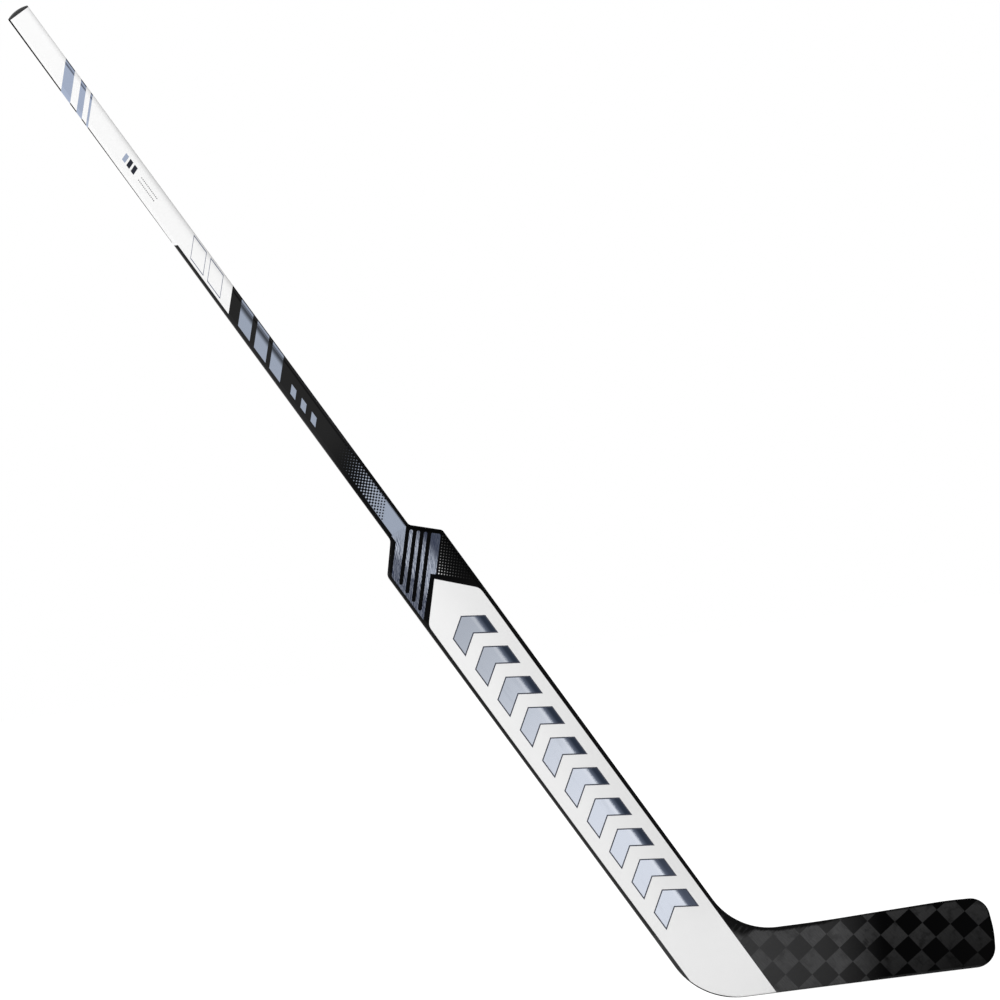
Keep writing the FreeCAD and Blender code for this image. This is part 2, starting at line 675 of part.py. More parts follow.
def draw_slot(sketch):
    """The first slot: a long slanted run with a round lower end, open past the grip's edge."""
    radius = value("grip_slot_width") / 2
    height = f"{SLOT_LINE} - tan(grip_angle) * {SLOT_REACH}"
    centre = Vector(-value(SLOT_REACH), value(height), 0)
    angle = radians_of(value("grip_angle"))
    along = Vector(cos(angle), sin(angle), 0)
    out = Vector(-sin(angle), cos(angle), 0)
    reach = along * 2 * value("paddle_width")
    left = sketch.addGeometry(Part.LineSegment(centre + out * radius, centre + out * radius + reach), False)
    top = sketch.addGeometry(Part.LineSegment(centre + out * radius + reach, centre - out * radius + reach),
                             False)
    right = sketch.addGeometry(Part.LineSegment(centre - out * radius + reach, centre - out * radius), False)
    circle = Part.Circle(centre, Vector(0, 0, 1), radius)
    start = angle + radians_of(90)
    arc = sketch.addGeometry(Part.ArcOfCircle(circle, start, start + radians_of(180)), False)
    sketch.addConstraint(Sketcher.Constraint("Tangent", left, 1, arc, 1))
    sketch.addConstraint(Sketcher.Constraint("Tangent", right, 2, arc, 2))
    sketch.addConstraint(Sketcher.Constraint("Coincident", left, 2, top, 1))
    sketch.addConstraint(Sketcher.Constraint("Coincident", top, 2, right, 1))
    sketch.addConstraint(Sketcher.Constraint("Perpendicular", left, top))
    add_dimension(sketch, "Radius", (arc,), "grip_slot_width / 2")
    add_dimension(sketch, "DistanceX", (-1, 1, arc, 3), f"-{SLOT_REACH}")
    add_dimension(sketch, "DistanceY", (-1, 1, arc, 3), height)
    add_dimension(sketch, "Distance", (left,), "2 * paddle_width")
    index = sketch.addConstraint(Sketcher.Constraint("Angle", left, angle))
    bind(sketch, f"Constraints[{index}]", "grip_angle * 1 deg")
    document.recompute()


# Blade


def blade_outline():
    """The blade and its neck seen from the front, running past the joint."""
    half = "paddle_foot_width / 2"
    above = f"(joint + {OVERRUN})"
    throat_across = f"({half} - waist_height * cos(lie_angle)) / sin(lie_angle) + {STICK_FOOT}"
    heel_across = f"{STICK_FOOT} - {half} / sin(lie_angle)"
    corners = [
        on_ice(f"-{half}", above),
        (heel_across, "0", "heel_radius"),
        ("toe_foot", "0", "toe_foot_round"),
        ("toe_tip", "toe_tip_height", "toe_tip_round"),
        ("toe_head", "toe_head_height", "toe_head_round"),
        ("crest", "crest_height", "crest_round"),
        ("waist", "waist_height", "waist_round"),
        (throat_across, "waist_height", "throat_radius"),
        on_ice(half, above),
    ]
    return prism("blade_outline", "XZ_Plane", corners, BLADE_BLOCK_DEPTH, on_stick=False)


def on_ice(across, up):
    """A point given in stick axes, as its X and Z on the ice."""
    return (f"{STICK_FOOT} + ({across}) * sin(lie_angle) - ({up}) * cos(lie_angle)",
            f"({across}) * cos(lie_angle) + ({up}) * sin(lie_angle)")


def blade_face(side, inset, across, up):
    """Y of the front (side -1) or back (side 1) of the blade, moved inwards by the inset."""
    run = max(0, across - value("curve_start"))
    share = run / (value("toe_tip") - value("curve_start"))
    radius = value("curve_radius")
    bow = radius - sqrt(radius**2 - run**2)
    rise = up / value("crest_height")
    lean = value("toe_lean") * share**2 * rise
    heel_depth = value(PADDLE_FOOT_DEPTH)
    thinning = share**2 * (2 - share)
    low_depth = heel_depth + (value("toe_depth") - heel_depth) * thinning
    top_depth = heel_depth + (value("toe_top_depth") - heel_depth) * thinning
    depth = low_depth + (top_depth - low_depth) * rise
    return lean - bow + side * (depth / 2 - inset)


def blade_curve(face, up):
    """The face's line at one height: straight through the heel, then curved to past the toe."""
    start = value("curve_start")
    end = value("toe_tip") + OVERRUN
    step = (end - start) / (BLADE_STATIONS - 1)
    stations = [start + step * number for number in range(BLADE_STATIONS)]
    points = [Vector(across, blade_face(*face, across, up), up) for across in stations]
    curve = Part.BSplineCurve()
    curve.interpolate(Points=points, InitialTangent=Vector(1, 0, 0), FinalTangent=points[-1] - points[-2])
    heel = Vector(value(STICK_FOOT) - 2 * value("joint"), points[0].y, up)
    return heel, points, curve.toShape()


def blade_layer(label, front, back):
    """A solid between two faces of the blade, each a side and an inset, ruled from below the sole upwards."""
    sections = []
    for up in (-OVERRUN, TOP_STATION):
        front_heel, front_points, front_edge = blade_curve(front, up)
        back_heel, back_points, back_edge = blade_curve(back, up)
        edges = [
            Part.makeLine(front_heel, front_points[0]),
            front_edge,
            Part.makeLine(front_points[-1], back_points[-1]),
            back_edge,
            Part.makeLine(back_points[0], back_heel),
            Part.makeLine(back_heel, front_heel),
        ]
        sections.append(Part.Wire(edges))
    return held_shape(label, Part.makeLoft(sections, True, True))


def blade():
    outline = blade_outline()
    whole = blade_layer("blade_whole", (-1, 0), (1, 0))
    below_joint = block_on_stick("below_joint", "-toe_tip", "2 * toe_tip", "-toe_tip", "joint")
    block = common("blade_block", whole, outline, below_joint)

    inside = inset_prism("blade_inside", outline, "edge_width", BLADE_BLOCK_DEPTH)
    bend_plane = (Vector(value("curve_start"), 0, 0), Vector(1, 0, 0))
    heel_half = block_on_ice("heel_half", "-toe_tip", "curve_start", f"-{OVERRUN}", "toe_tip")
    toe_half = block_on_ice("toe_half", "curve_start", "2 * toe_tip", f"-{OVERRUN}", "toe_tip")
    heel_block = common("heel_form_block", block, heel_half)
    toe_block = common("toe_form_block", block, toe_half)

    def rim_radius(point):
        at_bend = lies_in(point, bend_plane)
        return value("blade_edge_radius") if at_bend else value("edge_radius")

    heel_form = rounded_rim("heel_form", heel_block, [stick_plane("joint"), bend_plane], rim_radius)
    toe_form = rounded_rim("toe_form", toe_block, [bend_plane], rim_radius)
    heel_rim = boolean("Cut", "heel_rim", heel_form, inside)
    toe_rim = boolean("Cut", "toe_rim", toe_form, inside)
    parts = [boolean("Fuse", "blade_rim", heel_rim, toe_rim)]

    skin = value("skin")
    front_layer = blade_layer("blade_front_layer", (-1, 0), (-1, skin))
    back_layer = blade_layer("blade_back_layer", (1, skin), (1, 0))
    parts.append(common("blade_skin_front", front_layer, inside, below_joint))
    parts.append(common("blade_skin_back", back_layer, inside, below_joint))

    filling = blade_layer("blade_filling", (-1, skin), (1, skin))
    cavity = common("blade_cavity", filling, inside, below_joint)
    heel_end = block_on_ice("heel_end", "-toe_tip", "heel_block_end", f"-{OVERRUN}", "toe_tip")
    socket_half = f"({SPAR_WIDTH} + 2 * glue_gap) / 2"
    socket = block_on_stick("spar_socket", f"-{socket_half}", socket_half,
                            "spar_foot - glue_gap", f"joint + {OVERRUN}")
    heel_solid = common("heel_solid", cavity, heel_end)
    parts.append(boolean("Cut", "heel_block", heel_solid, socket))
    levels = (
        ("blade_core_lower", f"-{OVERRUN}", "blade_rib_height - blade_rib_depth / 2"),
        ("blade_rib", "blade_rib_height - blade_rib_depth / 2", "blade_rib_height + blade_rib_depth / 2"),
        ("blade_core_upper", "blade_rib_height + blade_rib_depth / 2", "toe_tip"),
    )
    for name, low, high in levels:
        region = block_on_ice(f"{name}_region", "heel_block_end", "2 * toe_tip", low, high)
        parts.append(common(name, cavity, region))
    return parts


def check(item):
    if {"Invalid", "Error"} & set(item.State):
        raise RuntimeError(f"{item.Label} failed: {item.State}")


def write_parts(parts):
    os.makedirs("parts", exist_ok=True)
    for part in parts:
        if part.Shape.isNull() or not part.Shape.isValid():
            raise RuntimeError(f"{part.Label} has no valid shape")
    for part in parts:
        part.Shape.exportStep(f"parts/{part.Label}.step")


fill_sheet()
paddle_body, paddle_parts = paddle()
sub_parts = [
    shaft_tube(),
    end_plug(),
    neck_insert(),
    paddle_spar(),
    spar_core(),
    *paddle_parts,
    *grip_bars(paddle_body),
    *blade(),
]
document.recompute()
for item in document.Objects:
    check(item)
write_parts(sub_parts)
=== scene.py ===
import json
from math import cos, pi, radians, sin

import bpy
from mathutils import Matrix, Vector


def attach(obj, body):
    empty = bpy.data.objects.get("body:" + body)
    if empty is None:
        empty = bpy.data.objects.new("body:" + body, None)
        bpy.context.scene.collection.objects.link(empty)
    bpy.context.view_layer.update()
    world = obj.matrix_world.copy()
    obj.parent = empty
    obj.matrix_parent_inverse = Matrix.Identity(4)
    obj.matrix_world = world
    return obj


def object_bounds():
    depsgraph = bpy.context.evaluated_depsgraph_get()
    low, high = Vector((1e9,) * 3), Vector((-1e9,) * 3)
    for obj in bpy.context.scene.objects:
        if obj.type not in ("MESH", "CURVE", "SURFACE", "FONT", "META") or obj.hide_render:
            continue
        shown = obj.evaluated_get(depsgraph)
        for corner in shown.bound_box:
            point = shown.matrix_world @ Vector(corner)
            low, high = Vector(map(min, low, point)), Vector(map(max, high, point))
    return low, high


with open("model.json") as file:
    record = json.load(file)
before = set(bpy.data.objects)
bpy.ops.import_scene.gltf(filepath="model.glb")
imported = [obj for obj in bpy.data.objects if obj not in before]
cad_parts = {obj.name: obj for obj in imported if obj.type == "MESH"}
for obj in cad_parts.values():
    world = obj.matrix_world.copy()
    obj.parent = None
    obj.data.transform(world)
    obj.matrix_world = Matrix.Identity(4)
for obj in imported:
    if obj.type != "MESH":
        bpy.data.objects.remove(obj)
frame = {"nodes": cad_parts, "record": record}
cad_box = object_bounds()
MM = 0.001

# Stick axes. The shaft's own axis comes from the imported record: across points to the toe side of
# the stick, up runs along it from the ice, and depth is the object's own Y. Places and sizes of
# the graphics are millimetres in these axes. The blade's cloth and outline use the object's own.
grip_mount = next(mount for mount in frame["record"]["mounts"] if mount["name"] == "shaft_grip")
UP = Vector(grip_mount["axis"]).normalized()
ACROSS = Vector((UP.z, 0, -UP.x))
FOOT = Vector(grip_mount["pos_m"]) - UP * (grip_mount["pos_m"][2] / UP.z)
LEAN = UP.angle(Vector((0, 0, 1)))

# Finishes, as linear colours
WHITE = (0.93, 0.93, 0.93)
BLACK = (0.0025, 0.0025, 0.0028)
DEEP_BLACK = (0.0006, 0.0006, 0.0007)
CORNER_SHEEN_BLACK = (0.034, 0.034, 0.036)  # painted reflection where the shaft's corner turns away on the heel side
# Painted reflection: the paddle's black turns lighter towards its foot
PADDLE_FOOT_SHEEN_BLACK = (0.004, 0.004, 0.0042)
# black paint of the heel edge, lightened as a painted reflection
HEEL_EDGE_SHEEN_BLACK = (0.024, 0.024, 0.025)
SHADE = (0.0, 0.0, 0.0)  # laid thinly over another colour to darken it, as painted shade and reflection and as the cloth's mottle and fibres
SLATE = (0.355, 0.41, 0.53)
DULL_SLATE = (0.312, 0.355, 0.438)
PALE_SLATE = (0.62, 0.67, 0.76)
LINE = (0.07, 0.09, 0.17)
INK = (0.010, 0.013, 0.024)
GREY_INK = (0.16, 0.16, 0.165)
HEEL_LINE = (0.012, 0.012, 0.0125)

# Tones of the cloth: painted reflection at the heel, painted shade at the toe
CLOTH_LIGHT = (0.070, 0.070, 0.0715)
CLOTH_LIGHT_TOE = (0.12, 0.12, 0.122)  # at full strength; most of it is held back
CLOTH_DARK_HEEL = (0.045, 0.045, 0.046)
CLOTH_DARK = (0.031, 0.031, 0.0315)
CLOTH_DARK_TOE = (0.0003, 0.0003, 0.0004)
RESIN = (0.0055, 0.0055, 0.0057)
SOLE_SHEEN = (0.03, 0.03, 0.031)

GRIP_FILM = (0.305, 0.345, 0.425)
GRIP_TROUGH = (0.045, 0.055, 0.09)
GRIP_RIDGE = (0.66, 0.70, 0.78)
GRIP_SHADE = (0.018, 0.024, 0.05)

SILVER_TOP = (0.34, 0.37, 0.426)  # of the highest chevrons
SILVER_FOOT = (0.63, 0.67, 0.755)
SILVER_CLOUD = (0.33, 0.36, 0.43)
SILVER_GLINT = (0.86, 0.88, 0.92)
NAVY_EDGE = (0.10, 0.12, 0.165)  # next to the silver
NAVY = (0.023, 0.031, 0.049)
NAVY_FOOT = (0.09, 0.105, 0.145)

# Moulded and cut materials by slot: name, base, fleck, grains for each millimetre, roughness
GRAINY = {
    "plug_rubber": ("plug_rubber", (0.010, 0.010, 0.011), (0.018, 0.018, 0.019), 1.5, 0.6),
    "insert_plastic": ("insert_plastic", (0.03, 0.03, 0.032), (0.05, 0.05, 0.052), 1.0, 0.55),
    "block_plastic": ("block_plastic", (0.04, 0.04, 0.042), (0.06, 0.06, 0.062), 1.0, 0.55),
    "carbon_inner": ("inner_carbon", (0.012, 0.012, 0.013), (0.03, 0.03, 0.032), 0.8, 0.45),
    "foam": ("foam", (0.72, 0.68, 0.55), (0.80, 0.77, 0.66), 1.2, 0.9),
}

# Shaft
SHAFT_HALF = 14.8
ROLL_SHADE_START = 2  # painted shade darkens the white from here to the toe-side corner
ROLL_SHADE_REACH = 11
PAINT_SPLIT = 1063.5  # where white meets black on the centre line, slanted at 45 degrees
EDGE_STRIPE_TOP = 1152
EDGE_STRIPE = 10.5  # from the centre line to the black stripe on the heel side
EDGE_STRIPE_SLANT = 0.6
EDGE_LINE_FOOT = 1165  # the black line up the heel-side edge grows from here to the butt
EDGE_LINE_GROWTH = 0.0046
EDGE_LINE_WIDTH = 0.42
BUTT_EDGE = 1504.1  # the cut end of the tube shows black from here

# Slate bands and marks on the shaft's white half
BANDS = ((1392, 1411), (1368, 1379), (1355, 1359))
MARK_TOP = 1283
MARK_PITCH = 9
MARK = {"half_length": 3, "centre": 1, "half_width": 4.5, "slant": 0.35}
RULE_MIDDLE = 1236
RULE_CENTRES = (-2.2, 2.6)
RULE = {"half_length": 17, "half_width": 0.6, "slant": 0.35}
DASH_PITCH = 2.6
BOX_MIDDLES = (1133, 1098)
BOX = {"half_length": 13, "centre": 2.5, "half_width": 10}
BOX_LINE = 0.45

# Slate bars on the shaft's black half, each with its middle and half its length
BARS = ((1036, 12), (1003, 12), (972, 11))
BAR = {"centre": 4, "half_width": 13.5}
SMALL_BAR_TOP = 928
SMALL_BAR_PITCH = 21
SMALL_BAR_COUNT = 3
SMALL_BAR = {"half_length": 5, "centre": -3, "half_width": 4.2}

# Slate band above the shoulder, and the dots that it grows from
SLATE_CENTRE = 0.8
SLATE_HALF = 10.0
SHOULDER_TOP = 712.8
HALFTONE_START = 828
HALFTONE_END = 741
HALFTONE_PITCH = 3.62

# Grip on the shoulder
STREAK_PITCH = 1.9
STREAK_LEAN = 28  # degrees
GRIP_CORNER = ((714.6, 40.4), 7)  # black corner at the neck: up minus across, across, rounding

# White panel of the paddle and the screen of dots beside it
PANEL_TOE_SIDE = 38.85
PANEL_TOE_GROWTH = 0.55  # of its toe side towards the shoulder
PANEL_HEEL_SIDE = 39.6
PANEL_WIDEST = 421  # the heel side bows in from here both ways
PANEL_BOW = 1.1e-5
PANEL_ROOF = ((1.064, 638.8), (-1.082, 640.2))  # slope and height of its two edges
PANEL_ROOF_COSINE = 0.68
PANEL_CORNER = 6
SCREEN_DOT = (9.05, 641.6)  # the lowest dot, across and up
SCREEN_ROW = (0.2002, 0.196)  # rows of dots for each millimetre across and up
SCREEN_COLUMN = (0.2143, -0.1956)
SCREEN_FADE = (-0.22, -0.38)  # for each row and column
SCREEN_START = -0.45  # row and column where the first dots begin
SCREEN_SIDE = 41.5

# Chevrons on the paddle
CHEVRON_COUNT = 10
CHEVRON_FIRST = 553
CHEVRON_PITCH = 46.5
CHEVRON_HALF = 25
CHEVRON_LENGTH = 27
CHEVRON_RISE = 17
FILM = 0.08  # thickness of a printed film
OUTLINE = 1.5

# Carbon cloth of the blade: two sets of flat tows, with their width, slope and first edge
TOW_WIDTH = (22.9, 23.73)
TOW_SLOPE = (38.7, 36.52)
TOW_START = (0.27, -4.33)
TOW_DRIFT = 7e-6
FIBRES = (45, 2)  # cells of the fibre noise in a tow, across and along its fibres

# Heel, with heights and sides in the stick's axes
HEEL_RADIUS = 92
HEEL_TOP = 78.3  # where the heel's round starts
HEEL_SIDE = 38.7  # heel side of the white, which moves in below its top
HEEL_SIDE_TOP = 138
HEEL_SIDE_EASE = 2e-5
HEEL_RIM_HALF = 6.9  # half the depth of the heel's black edge
HEEL_RIM_FOOT = 75
HEEL_LINE_WIDTH = 0.6
HEEL_LINE_GROWTH = 0.85

# Throat, top edge and toe of the blade, in the object's own X and Z
THROAT_X, THROAT_Z, THROAT_RADIUS = 50.2, 166, 85
WAIST_X, WAIST_Z, TOP_SLOPE = 70, 80.3, 0.026
TOE_X, TOE_Z, TOE_BOW = 312.4, 37, 0.0031

# Studio, in metres unless a line says otherwise
CAMERA_ROLL = 7.3  # degrees
CAMERA_WIDTH = 1.233  # how much of the object's plane it takes in
CAMERA_OFFSET = Vector((-0.0047, 0, -0.01655))
CAMERA_LENS = 1000  # millimetres
CAMERA_REACH = 200
FLOOR_SIZE = 160
FLOOR_GAP = 0.5  # millimetres
FLOOR_GLOW = 0.85
FLOOR_PALE = (0.75, 0.75, 0.75)
FLOOR_SHADED = (0.3, 0.3, 0.3)
BACKGROUND = (1.0, 1.0, 1.0)
ROOM = (1.0, 1.0, 1.0)
ROOM_LEFT = (2.3, 2.3, 2.3)
ROOM_MIDDLE = (0.25, 0.25, 0.26)
ROOM_RIGHT = (0.9, 0.9, 0.91)
ROOM_FAR = (0.06, 0.06, 0.06)
FILL_LEFT = (1.26, 1.26, 1.26)
FILL_RIGHT = (0.54, 0.54, 0.54)
KEY = {"position": (-1.6, -1.6, 2.3), "target": (-0.3, 0, 0.8), "size": 1.4, "power": 12}

# Shader nodes as plain arithmetic


class Amount:
    """A number that a shader works out for each point of a surface."""

    def __init__(self, tree, socket):
        self.tree = tree
        self.socket = socket

    def combine(self, operation, *others, clamp=False):
        node = self.tree.nodes.new("ShaderNodeMath")
        node.operation = operation
        node.use_clamp = clamp
        for socket, value in zip(node.inputs, (self, *others)):
            plug(value, socket)
        return Amount(self.tree, node.outputs[0])

    def __add__(self, other):
        return self.combine("ADD", other)

    def __sub__(self, other):
        return self.combine("SUBTRACT", other)

    def __mul__(self, other):
        return self.combine("MULTIPLY", other)

    def __abs__(self):
        return self.combine("ABSOLUTE")

    def squared(self):
        return self * self

    def rest(self):
        """What is left of 1."""
        return self * -1 + 1

    def least(self, other):
        return self.combine("MINIMUM", other)

    def most(self, other):
        return self.combine("MAXIMUM", other)

    def wave(self, pitch):
        """A sine of the amount."""
        return (self * (2 * pi / pitch)).combine("SINE")

    def above(self, limit, blur=0.25):
        """1 where the amount is over the limit and 0 below it, blurred over a short stretch."""
        return (self - limit).combine("MULTIPLY_ADD", 1 / blur, 0.5, clamp=True)

    def below(self, limit, blur=0.25):
        return (self - limit).combine("MULTIPLY_ADD", -1 / blur, 0.5, clamp=True)

    def between(self, low, high, blur=0.25):
        return self.above(low, blur) * self.below(high, blur)

    def ramp(self, start, end):
        """0 at the start and 1 at the end, eased at both."""
        node = self.tree.nodes.new("ShaderNodeMapRange")
        node.interpolation_type = "SMOOTHSTEP"
        plug(self, node.inputs["Value"])
        plug(start, node.inputs["From Min"])
        plug(end, node.inputs["From Max"])
        return Amount(self.tree, node.outputs["Result"])


class Colour(Amount):
    """A colour that a shader works out for each point of a surface."""

    def covered(self, share, colour):
        """This colour with another laid over it by its share."""
        node = self.tree.nodes.new("ShaderNodeMix")
        node.data_type = "RGBA"
        plug(share, node.inputs["Factor"])
        plug(self, node.inputs[6])
        plug(colour, node.inputs[7])
        return Colour(self.tree, node.outputs[2])


def plug(value, socket):
    if isinstance(value, Amount):
        value.tree.links.new(value.socket, socket)
    elif isinstance(value, tuple) and len(value) == 3 and socket.type == "RGBA":
        socket.default_value = (*value, 1)
    else:
        socket.default_value = value


def plain(tree, colour):
    node = tree.nodes.new("ShaderNodeRGB")
    node.outputs[0].default_value = (*colour, 1)
    return Colour(tree, node.outputs[0])


def new_material(name, roughness=0.3, **settings):
    """A material and its node tree, with the shader's constant values set on its own sockets."""
    material = bpy.data.materials.new(name)
    material.use_nodes = True
    shader = material.node_tree.nodes["Principled BSDF"]
    shader.inputs["Roughness"].default_value = roughness
    for socket, value in settings.items():
        plug(value, shader.inputs[socket.replace("_", " ")])
    return material, material.node_tree


def shader_input(tree, name, value):
    plug(value, tree.nodes["Principled BSDF"].inputs[name])


def positions(tree, rotation=(0, 0, 0), location=(0, 0, 0)):
    """A point's three coordinates in millimetres, in axes turned and moved from the object's."""
    place = tree.nodes.new("ShaderNodeTexCoord")
    mapping = tree.nodes.new("ShaderNodeMapping")
    mapping.inputs["Scale"].default_value = (1 / MM,) * 3
    mapping.inputs["Rotation"].default_value = rotation
    mapping.inputs["Location"].default_value = location
    tree.links.new(place.outputs["Object"], mapping.inputs["Vector"])
    split = tree.nodes.new("ShaderNodeSeparateXYZ")
    tree.links.new(mapping.outputs["Vector"], split.inputs[0])
    return [Amount(tree, output) for output in split.outputs]


def stick_positions(tree):
    """Across, depth and up of a point in the stick's axes."""
    start = (-FOOT.dot(ACROSS) / MM, 0, -FOOT.dot(UP) / MM)
    return positions(tree, rotation=(0, LEAN, 0), location=start)


def vector_of(*amounts):
    """A point from two or three coordinates; the third is 0 unless it is given."""
    tree = amounts[0].tree
    join = tree.nodes.new("ShaderNodeCombineXYZ")
    for socket, amount in zip(join.inputs, amounts):
        plug(amount, socket)
    return Amount(tree, join.outputs[0])


def noise(point, scale=1, detail=2, roughness=0.5):
    """Cloudy variation from 0 to 1, with the scale in clouds for each unit of the point."""
    node = point.tree.nodes.new("ShaderNodeTexNoise")
    plug(point, node.inputs["Vector"])
    node.inputs["Scale"].default_value = scale
    node.inputs["Detail"].default_value = detail
    node.inputs["Roughness"].default_value = roughness
    return Amount(point.tree, node.outputs["Fac"])


def bump(height, strength, distance):
    node = height.tree.nodes.new("ShaderNodeBump")
    node.inputs["Strength"].default_value = strength
    node.inputs["Distance"].default_value = distance
    plug(height, node.inputs["Height"])
    shader_input(height.tree, "Normal", Amount(height.tree, node.outputs["Normal"]))


def distance(first, second):
    return (first.squared() + second.squared()).combine("SQRT")


def halftone(row, column, amount):
    """A screen of dots, one at each whole row and column, from none at 0 to solid at 1."""
    turn = 2 * pi
    screen = ((row * turn).combine("COSINE") + (column * turn).combine("COSINE")) * 0.25 + 0.5
    return (screen + amount - 1).combine("MULTIPLY_ADD", 4, 0.5, clamp=True)


def slanted(across, up, middle, half_length, centre=0.0, half_width=5.0, slant=1.0):
    """How far a point is outside a parallelogram whose ends lean by the slant, below 0 inside."""
    along = abs(up - across * slant - (middle - centre * slant)) - half_length
    beside = abs(across - centre) - half_width
    return along.most(beside)


def lacquer_ripple(tree):
    """Slight waviness of a sprayed clear coat."""
    point = vector_of(*stick_positions(tree))
    waves = noise(point, scale=0.04) + noise(point, scale=0.5) * 0.15
    bump(waves, strength=0.08, distance=0.4 * MM)


def shaded_white(tree, across, up):
    """White lacquer with painted shade, a little greyer towards the toe side and down the stick.
    """
    toe_side = across.ramp(-30, 36) * up.ramp(60, 180)
    return plain(tree, WHITE).covered(toe_side * 0.092 + up.ramp(720, 200) * 0.042, SHADE)


def slate_band(across):
    return abs(across - SLATE_CENTRE).below(SLATE_HALF)


# Paint and films of the shaft


def shaft_colours(tree, across, up):
    """White above black, with a slanted boundary between them, painted shade on the white's
    toe-side corner and a painted reflection on the black's heel-side corner.
    """
    # Painted reflection: the black is lighter along its heel-side corner
    corner_sheen = across.ramp(-9, -14.5) * up.ramp(740, 850)
    black = plain(tree, BLACK).covered(corner_sheen, CORNER_SHEEN_BLACK)
    # Painted shade on the white towards its toe-side corner, growing down the shaft
    roll = ((across - ROLL_SHADE_START) * (1 / ROLL_SHADE_REACH)).most(0)
    white = plain(tree, WHITE).covered(roll.squared() * up.ramp(1480, 1200) * 0.13, SHADE)
    return black.covered((up - across).above(PAINT_SPLIT), white)


def dark_marks(colour, across, up):
    """Two small dark marks, two rows of grey dashes and two outlined boxes on the white."""
    for number in (1, 2):
        mark = slanted(across, up, MARK_TOP - MARK_PITCH * number, **MARK)
        colour = colour.covered(mark.below(0), INK)
    dashes = up.wave(DASH_PITCH).above(-0.3, blur=0.4)
    for centre in RULE_CENTRES:
        rule = slanted(across, up, RULE_MIDDLE, centre=centre, **RULE)
        colour = colour.covered(rule.below(0) * dashes, GREY_INK)
    for middle in BOX_MIDDLES:
        box = slanted(across, up, middle, **BOX)
        colour = colour.covered(abs(box).below(BOX_LINE), LINE)
    return colour


def slate_shapes(across, up):
    """Where slate film lies: bands and a mark on the white, bars on the black."""
    slate = slanted(across, up, MARK_TOP, **MARK).below(0)
    for low, high in BANDS:
        slate = slate.most((up - across).between(low, high))
    for middle, half_length in BARS:
        slate = slate.most(slanted(across, up, middle, half_length, **BAR).below(0))
    for number in range(SMALL_BAR_COUNT):
        middle = SMALL_BAR_TOP - SMALL_BAR_PITCH * number
        slate = slate.most(slanted(across, up, middle, **SMALL_BAR).below(0))
    return slate


def slate_dots(across, up):
    """Dots that grow into the slate band above the shoulder, and the share of the way to it."""
    share = (up - across - HALFTONE_START) * (1 / (HALFTONE_END - HALFTONE_START))
    spacing = cos(radians(45)) / HALFTONE_PITCH
    amount = (share + 0.03).most(0) * 0.51 + share.ramp(0.3, 1.05) * 0.18
    dots = halftone((across + up) * spacing, (across - up) * spacing, amount)
    solid = share.above(0.99, blur=0.03)
    return (dots * share.ramp(-0.2, 0.55)).most(solid) * slate_band(across), share


def shaft_edging(across, up):
    """Black stripe up the heel-side edge, the line it goes on as, and the tube's cut end."""
    stripe = across.below(-EDGE_STRIPE) * (up + across * EDGE_STRIPE_SLANT).below(EDGE_STRIPE_TOP)
    growth = (up - EDGE_LINE_FOOT) * EDGE_LINE_GROWTH
    line = (across - growth).below(-SHAFT_HALF + EDGE_LINE_WIDTH, blur=0.15)
    line = line * up.above(EDGE_LINE_FOOT)
    return stripe.most(line).most(up.above(BUTT_EDGE, blur=0.1)), line


def slate_film(tree, across, up, small_dots):
    """Slate that is duller down the shaft, with a painted dark reflection along the toe side of
    the black.
    """
    # Painted reflection: a dark band along the toe side of the slate on the black half
    dark_reflection = across.ramp(2.5, 8.3) * across.ramp(10.6, 9.2)
    dark_reflection = dark_reflection * up.ramp(1090, 1060) * up.ramp(800, 850)
    film = plain(tree, SLATE).covered(up.ramp(1340, 1060), DULL_SLATE)
    return film.covered(dark_reflection * 0.83, SHADE).covered(small_dots * 0.22, PALE_SLATE)


def shaft_paint():
    material, tree = new_material("shaft_paint", roughness=0.2)
    across, _, up = stick_positions(tree)
    dots, share = slate_dots(across, up)
    slate = slate_shapes(across, up).most(dots)
    edging, line = shaft_edging(across, up)
    film = slate_film(tree, across, up, dots * share.ramp(0.1, 0.3) * share.ramp(0.95, 0.6))

    colour = dark_marks(shaft_colours(tree, across, up), across, up)
    colour = colour.covered(edging, BLACK).covered(slate, film)
    shader_input(tree, "Base Color", colour)
    shader_input(tree, "Metallic", slate)
    shader_input(tree, "Specular IOR Level", (up.ramp(790, 870) * 0.17 + 0.04) * line.rest())
    lacquer_ripple(tree)
    return material


# Paint of the paddle


def white_panel(across, up):
    """1 inside the paddle's white panel, which has a pointed roof."""
    toe_side = across - up.ramp(480, 582) * PANEL_TOE_GROWTH - PANEL_TOE_SIDE
    heel_side = across * -1 + (up - PANEL_WIDEST).squared() * PANEL_BOW - PANEL_HEEL_SIDE
    roof = [(up - across * slope - height) * PANEL_ROOF_COSINE for slope, height in PANEL_ROOF]
    sides = toe_side.most(heel_side)
    return sides.combine("SMOOTH_MAX", roof[0].most(roof[1]), PANEL_CORNER).below(0)


def shoulder_screen(across, up):
    """Small dots that fade out up the shoulder and towards the toe side."""
    right = across - SCREEN_DOT[0]
    above = up - SCREEN_DOT[1]
    row = right * SCREEN_ROW[0] + above * SCREEN_ROW[1]
    column = right * SCREEN_COLUMN[0] + above * SCREEN_COLUMN[1]
    fade = (row * SCREEN_FADE[0] + column * SCREEN_FADE[1]).combine("EXPONENT").least(1)
    first_dots = row.above(SCREEN_START, blur=0.1) * column.above(SCREEN_START, blur=0.1)
    inside = first_dots * across.below(SCREEN_SIDE)
    return halftone(row, column, fade * 0.1 + 0.11) * inside * fade


